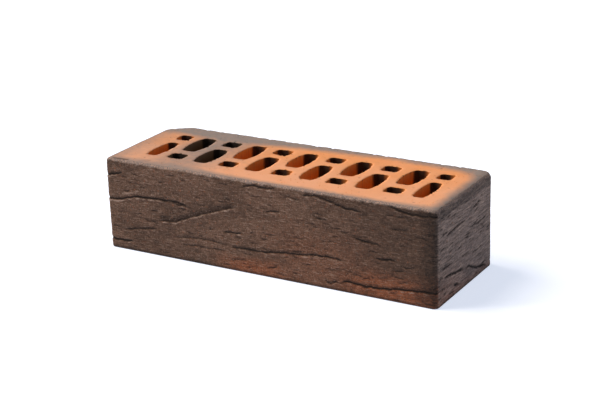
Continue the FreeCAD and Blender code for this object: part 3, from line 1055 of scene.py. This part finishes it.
def bark_finish(paint):
    """Fired clay, die skin torn to a bark texture and browned with manganese.

    To the eye: dull brown felted with sand, with painted shade in the cracks and a painted
    highlight on the proud lips, paler where rubbed.
    """
    skin = Finish("Fired clay, bark-textured die skin", 0.92)
    span, times = skin.span, skin.times
    felt = skin.lumps(2.2, 2.2, 1.0, 4.0, 0.75)  # torn fibres of clay, 1 to 2 mm
    scratches = skin.lumps(6.0, 6.0, 0.8, 4.0, 0.65)  # level scratches, under 1 mm high
    streaks = skin.lumps(16.0, 16.0, 1.3, 4.0, 0.62)  # drag streaks of the ends, 8 to 15 mm
    drift = skin.lumps(30.0, 30.0, 16.0)
    # Sand, finer than half a millimetre on the real skin, is drawn coarser so that it shows.
    grit = skin.lumps(0.9, 0.9, 0.9, 2.0, 0.75)
    fibres = skin.lumps(0.9, 0.9, 4.0, 2.0, 0.6)  # faint upright lines from the roller
    red = skin.lumps(1.6, 1.6, 1.6, 1.0, 0.5)  # grains where the red body shows
    on_end, arris, rubbed = (skin.mask(name) for name in ("end_face", "arris", "rubbed"))
    base = skin.coats(
        paint.bark,
        (span(drift, 0.36, 0.64, 0.35), paint.bark_light),
        (times(on_end, 0.85), paint.end_grey),
        (times(skin.mask("warm"), span(felt, 0.34, 0.6, 1.0, 0.4)), paint.warm),
        (span(felt, 0.53, 0.7, 0.45), paint.bark_light),
        (span(felt, 0.48, 0.32, 0.7), paint.bark_dark),
        (times(on_end, span(streaks, 0.52, 0.68, 0.5)), paint.arris),
        (times(on_end, span(streaks, 0.47, 0.32, 0.55)), paint.bark_dark),
        (span(fibres, 0.55, 0.7, 0.3), paint.bark_light),
        (span(fibres, 0.45, 0.3, 0.35), paint.bark_dark),
        (span(red, 0.68, 0.76, 0.5), paint.warm),
        (span(scratches, 0.54, 0.68, 0.36), paint.arris),
        (span(scratches, 0.46, 0.32, 0.51), paint.bark_dark),
        # Painted highlight on proud skin and fold lips, and painted shade where the skin is sunk,
        # with some rubbing wear.
        (span(rubbed, 0.58, 0.85, 0.65), paint.arris),
        (span(rubbed, 0.42, 0.15, 0.6), paint.bark_dark),
        (span(grit, 0.58, 0.73, 0.5), paint.arris),
        (span(grit, 0.42, 0.28, 0.65), paint.soot_and_shade),
        # Smoke-darkened skin, and the painted contact shadow along the foot.
        (times(skin.mask("soot_and_shade"), span(felt, 0.3, 0.6, 0.6, 0.95)), paint.soot_and_shade),
        (times(arris, span(grit, 0.3, 0.6, 1.0, 0.35)), paint.flash),
        (times(arris, span(grit, 0.5, 0.66, 0.45)), paint.clay_pale),
        # Painted shade in the cracks of the folds and nicks; also the dark chips at the back of the
        # top arris.
        (span(skin.mask("crack"), 0.15, 0.75, 0.92), paint.soot_and_shade),
    )
    return skin.finish(base, (scratches, 0.45, 0.65), (felt, 0.5, 0.7), (grit, 0.25, 0.7))


def bed_finish(paint):
    """Fired clay, cut by the wire: open-grained orange body with the kiln's grey flash.

    To the eye: matt and even, with sandy grain, torn pits and a soft-edged smoky border.
    """
    bed = Finish("Fired clay, wire-cut bed", 0.92)
    span = bed.span
    drift = bed.lumps(28.0, 28.0, 28.0)
    grain = bed.lumps(1.1, 1.6, 1.1, 4.0, 0.7)
    fine = bed.lumps(0.7, 0.7, 0.7, 2.0, 0.6)  # the body's sand, drawn a little coarse
    drag = bed.lumps(1.3, 9.0, 4.0, 3.0, 0.6)  # lines that the wire left across the brick
    pale = bed.math("ADD", bed.mask("rubbed"), span(drift, 0.35, 0.65, 0.3, -0.3))
    uneven = span(bed.lumps(4.0, 4.0, 4.0, 4.0), 0.3, 0.7, 0.1, -0.1)
    veil = span(bed.math("ADD", bed.mask("flash"), uneven), 0.04, 1.0)
    speck = bed.times(span(fine, 0.64, 0.76, 0.45), span(veil, 0.0, 1.0, 1.0, 0.5))
    base = bed.coats(
        paint.clay,
        (pale, paint.clay_pale),
        (span(grain, 0.55, 0.75, 0.35), paint.clay_pale),
        (span(grain, 0.42, 0.25, 0.25), paint.core),
        (veil, paint.flash),
        (speck, paint.bark),
        # Painted shade in the pits and the crack, the darker band along the back edge, and crumbs a
        # little darker.
        (span(bed.mask("crack"), 0.15, 0.8, 0.75), paint.bark_dark),
    )
    return bed.finish(base, (drag, 0.15, 0.3), (grain, 0.25, 0.45), (fine, 0.12, 0.4))


def core_finish(paint):
    """Fired clay, scraped by the die's core bars: the deepest orange of the body.

    To the eye: saturated rust going black in shade, with faint upright drag lines.
    """
    core = Finish("Fired clay, perforation wall", 0.9)
    lines = core.lumps(0.9, 0.9, 14.0, 4.0, 0.6)
    grain = core.lumps(1.5, 1.5, 1.5)
    base = core.coats(
        paint.core,
        (core.span(grain, 0.45, 0.75, 0.3), paint.clay),
        (core.span(lines, 0.45, 0.25, 0.4), paint.core_smoked),
        (core.span(core.mask("smoke"), 0.1, 0.9, 0.95), paint.core_smoked),
        # Painted shade: the holes' back corners and patches at the rims go near black.
        (core.mask("crack"), paint.soot_and_shade),
    )
    return core.finish(base, (lines, 0.2, 0.5), (grain, 0.2, 0.4))


# ------------------------------------------------------------------ grog crumbs
def crumb_mesh(rng):
    """One broken grain of grog, about one unit across, that the scatter scales down."""
    verts = []
    for level, radius, count in ((-0.35, 0.32, 4), (0.0, 0.5, 5), (0.32, 0.28, 4)):
        for k in range(count):
            turn = 2.0 * math.pi * (k + rng.uniform(-0.2, 0.2)) / count
            reach = radius * rng.uniform(0.75, 1.2)
            height = level * rng.uniform(0.8, 1.2)
            verts.append((reach * math.cos(turn), reach * math.sin(turn), height))
    mesh = bpy.data.meshes.new("crumb")
    mesh.from_pydata(verts, [], [])
    shape = bmesh.new()
    shape.from_mesh(mesh)
    bmesh.ops.convex_hull(shape, input=shape.verts)
    bmesh.ops.recalc_face_normals(shape, faces=shape.faces)
    shape.to_mesh(mesh)
    shape.free()
    return mesh


def crumb_tree():
    """Node tree that scatters grog grains over the upper bed, half sunk in it."""
    inputs = {
        "Bed": "Geometry",
        "Crumb": "Object",
        "Density": "Float",
        "Smallest": "Float",
        "Largest": "Float",
        "Seed": "Int",
        "Material": "Material",
    }
    tree, given = open_tree("Grog crumbs", inputs)
    seed = given["Seed"]
    values = {"Mesh": given["Bed"], "Density": given["Density"], "Seed": seed}
    spots = add_node(
        tree, "GeometryNodeDistributePointsOnFaces", values, distribute_method="RANDOM"
    )
    grain = add_node(tree, "GeometryNodeObjectInfo", {"Object": given["Crumb"]})
    values = {0: (0.0, 0.0, 0.0), 1: (6.28, 6.28, 6.28), "Seed": seed}  # any way round, in radians
    turn = add_node(tree, "FunctionNodeRandomValue", values, data_type="FLOAT_VECTOR")
    values = {2: given["Smallest"], 3: given["Largest"], "Seed": seed}
    scale = add_node(tree, "FunctionNodeRandomValue", values, data_type="FLOAT")
    values = {
        "Points": spots.outputs[0],
        "Instance": grain.outputs["Geometry"],
        "Rotation": turn.outputs[0],
        "Scale": scale.outputs[1],
    }
    crumbs = add_node(tree, "GeometryNodeInstanceOnPoints", values)
    return close_tree(tree, crumbs, given["Material"])


def upper_bed(brick):
    """Copy of the upper bed's triangles, to scatter on."""
    source = brick.data
    mesh = bpy.data.meshes.new("bed_only")
    keep = [p.vertices[:] for p in source.polygons if p.material_index == BED and p.normal.z > 0.5]
    used = sorted({v for face in keep for v in face})
    lookup = {v: i for i, v in enumerate(used)}
    faces = [[lookup[v] for v in face] for face in keep]
    mesh.from_pydata([source.vertices[v].co for v in used], [], faces)
    return mesh


# ------------------------------------------------------------------ studio
FLOOR_REACH = 6.0  # metres from the brick to the floor's edges
FLOOR_DROP = 0.05 * MM  # keeps the floor and the lower bed from flickering through each other
LAMPS = (
    # name, azimuth and elevation it shines from, softness in degrees, strength, tint
    ("key_from_left", -77.0, 49.0, 46.0, 3.5, "#fff3e4"),
    ("rake_from_front_left", -58.0, 24.0, 10.0, 0.9, "#fff3e4"),
)


def away_from(azimuth, elevation):
    """Unit vector from the brick towards a place round it; azimuth 0 is in front."""
    a, e = math.radians(azimuth), math.radians(elevation)
    return Vector((math.sin(a) * math.cos(e), -math.cos(a) * math.cos(e), math.sin(e)))


def floor_card(studio):
    """Floor lit from below like an acrylic product table, so shadows on it stay pale."""
    card = bpy.data.materials.new("Painted studio floor")
    card.use_nodes = True
    inputs = card.node_tree.nodes["Principled BSDF"].inputs
    for name, value in (
        ("Base Color", studio.floor),
        ("Roughness", 0.9),
        ("Specular IOR Level", 0.1),
        ("Emission Color", studio.sky),
        ("Emission Strength", studio.glow),
    ):
        inputs[name].default_value = value
    return card


def tent_world(studio):
    """White tent: bright walls round the table, a dimmer top that leaves deep holes dark."""
    world = bpy.data.worlds.new("White tent")
    world.use_nodes = True
    tree = world.node_tree
    tree.nodes.clear()
    way = add_node(tree, "ShaderNodeTexCoord").outputs["Generated"]
    parts = add_node(tree, "ShaderNodeSeparateXYZ", {0: way}).outputs
    values = {"Value": parts["Z"], 1: 0.1, 2: 0.5, 3: studio.walls, 4: studio.top}
    level = add_node(tree, "ShaderNodeMapRange", values).outputs[0]
    # The tent is open in front, where the camera stands, so less light comes from there.
    values = {"Value": parts["Y"], 1: -0.9, 2: 0.1, 3: 0.5, 4: 1.0}
    front = add_node(tree, "ShaderNodeMapRange", values).outputs[0]
    both = add_node(tree, "ShaderNodeMath", {0: level, 1: front}, operation="MULTIPLY").outputs[0]
    light = add_node(tree, "ShaderNodeBackground", {"Color": studio.sky, "Strength": both})
    add_node(tree, "ShaderNodeOutputWorld", {"Surface": light.outputs[0]})
    return world


# ------------------------------------------------------------------ operators
class BRICK_OT_fired_brick(bpy.types.Operator):
    """Build the perforated brick as one fired piece"""

    bl_idname = "brick.fired_brick"
    bl_label = "Fired brick"

    def execute(self, context):
        scene = context.scene
        brick = put_in_scene("fired_brick", brick_mesh(scene.brick_sizes, scene.brick_relief))
        paint = scene.brick_colours
        for finish in (bark_finish(paint), bed_finish(paint), core_finish(paint)):
            brick.data.materials.append(finish)
        triangles = sum(len(p.vertices) - 2 for p in brick.data.polygons)
        if triangles >= MOST_TRIANGLES:
            raise RuntimeError(f"the brick has too many triangles: {triangles}")
        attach(brick, "root")
        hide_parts(NODE)
        return {"FINISHED"}


class BRICK_OT_grog_crumbs(bpy.types.Operator):
    """Scatter grog grains over the upper bed"""

    bl_idname = "brick.grog_crumbs"
    bl_label = "Grog crumbs"

    def execute(self, context):
        scene = context.scene
        relief, size = scene.brick_relief, scene.brick_sizes
        brick = scene.objects["fired_brick"]
        crumb = put_in_scene("crumb", crumb_mesh(np.random.default_rng(relief.seed + 1)))
        crumbs = put_in_scene("grog_crumbs", upper_bed(brick))
        area = size.length * size.width * MM * MM
        values = {
            "Crumb": crumb,
            "Density": relief.crumbs / area,
            "Smallest": 0.35 * MM,
            "Largest": 1.0 * MM,
            "Seed": relief.seed,
            "Material": brick.data.materials[BED],
        }
        made = run_tree(crumbs, crumb_tree(), values)
        if not made.polygons:
            raise RuntimeError("no crumbs were scattered")
        places = np.empty(len(made.vertices) * 3)
        made.vertices.foreach_get("co", places)
        x, y, _ = places.reshape(-1, 3).T / MM
        # The crumbs take the bed's flash and are a little darker than it.
        flash = flash_mask(x, y, size, Lumps(relief.seed))
        masks = {"flash": flash, "crack": np.full(len(x), 0.18)}
        for name, values in masks.items():
            layer = made.attributes.get(name) or made.attributes.new(name, "FLOAT", "POINT")
            layer.data.foreach_set("value", values.astype(np.float32))
        bpy.data.objects.remove(crumb)
        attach(crumbs, "root")
        return {"FINISHED"}


class BRICK_OT_studio(bpy.types.Operator):
    """Set the pale floor, the soft lights and the camera"""

    bl_idname = "brick.studio"
    bl_label = "Studio"

    def execute(self, context):
        scene = context.scene
        studio = scene.brick_studio
        mesh = bpy.data.meshes.new("studio_floor")
        corners = [(-1, -1), (1, -1), (1, 1), (-1, 1)]
        places = [(x * FLOOR_REACH, y * FLOOR_REACH, -FLOOR_DROP) for x, y in corners]
        mesh.from_pydata(places, [], [(0, 1, 2, 3)])
        floor = put_in_scene("studio_floor", mesh)
        floor.data.materials.append(floor_card(studio))

        scene.world = tent_world(studio)
        scene.view_settings.view_transform = "Standard"
        for name, azimuth, elevation, spread, strength, tint in LAMPS:
            lamp = bpy.data.lights.new(name, "SUN")
            lamp.angle = math.radians(spread)
            lamp.energy = strength
            lamp.color = from_hex(tint)[:3]
            holder = bpy.data.objects.new(name, lamp)
            holder.rotation_euler = away_from(azimuth, elevation).to_track_quat("Z", "Y").to_euler()
            scene.collection.objects.link(holder)

        lens = bpy.data.cameras.new("studio_camera")
        lens.lens = studio.lens
        lens.sensor_width = 36.0
        lens.clip_start, lens.clip_end = 0.05, 30.0
        camera = bpy.data.objects.new("studio_camera", lens)
        back = away_from(studio.azimuth, studio.elevation)
        camera.location = Vector(studio.aim) + back * studio.distance
        turn = back.to_track_quat("Z", "Y").to_matrix().to_4x4()
        roll = Matrix.Rotation(math.radians(studio.roll), 4, "Z")
        camera.rotation_euler = (turn @ roll).to_euler()
        scene.collection.objects.link(camera)
        scene.camera = camera
        return {"FINISHED"}


class BRICK_PT_panel(bpy.types.Panel):
    """Buttons for the brick and its studio"""

    bl_label = "Facing brick"
    bl_idname = "BRICK_PT_panel"
    bl_space_type = "VIEW_3D"
    bl_region_type = "UI"
    bl_category = "Brick"

    def draw(self, context):
        for step in STEPS:
            self.layout.operator(step.bl_idname)
        for name in ("brick_sizes", "brick_relief", "brick_colours", "brick_studio"):
            group = getattr(context.scene, name)
            box = self.layout.box()
            for key in group.__annotations__:
                box.prop(group, key)


STEPS = (BRICK_OT_fired_brick, BRICK_OT_grog_crumbs, BRICK_OT_studio)
GROUPS = {
    "brick_sizes": BrickSizes,
    "brick_relief": BrickRelief,
    "brick_colours": BrickColours,
    "brick_studio": StudioSettings,
}


def register():
    """Register the classes and hang the settings on the scene."""
    for cls in (*GROUPS.values(), *STEPS, BRICK_PT_panel):
        bpy.utils.register_class(cls)
    for name, group in GROUPS.items():
        setattr(bpy.types.Scene, name, bpy.props.PointerProperty(type=group))


def unregister():
    """Take back everything that register set up."""
    for name in GROUPS:
        delattr(bpy.types.Scene, name)
    for cls in reversed((*GROUPS.values(), *STEPS, BRICK_PT_panel)):
        bpy.utils.unregister_class(cls)


def main():
    register()
    for step in STEPS:
        group, name = step.bl_idname.split(".")
        getattr(getattr(bpy.ops, group), name)()


if __name__ == "__main__":
    main()
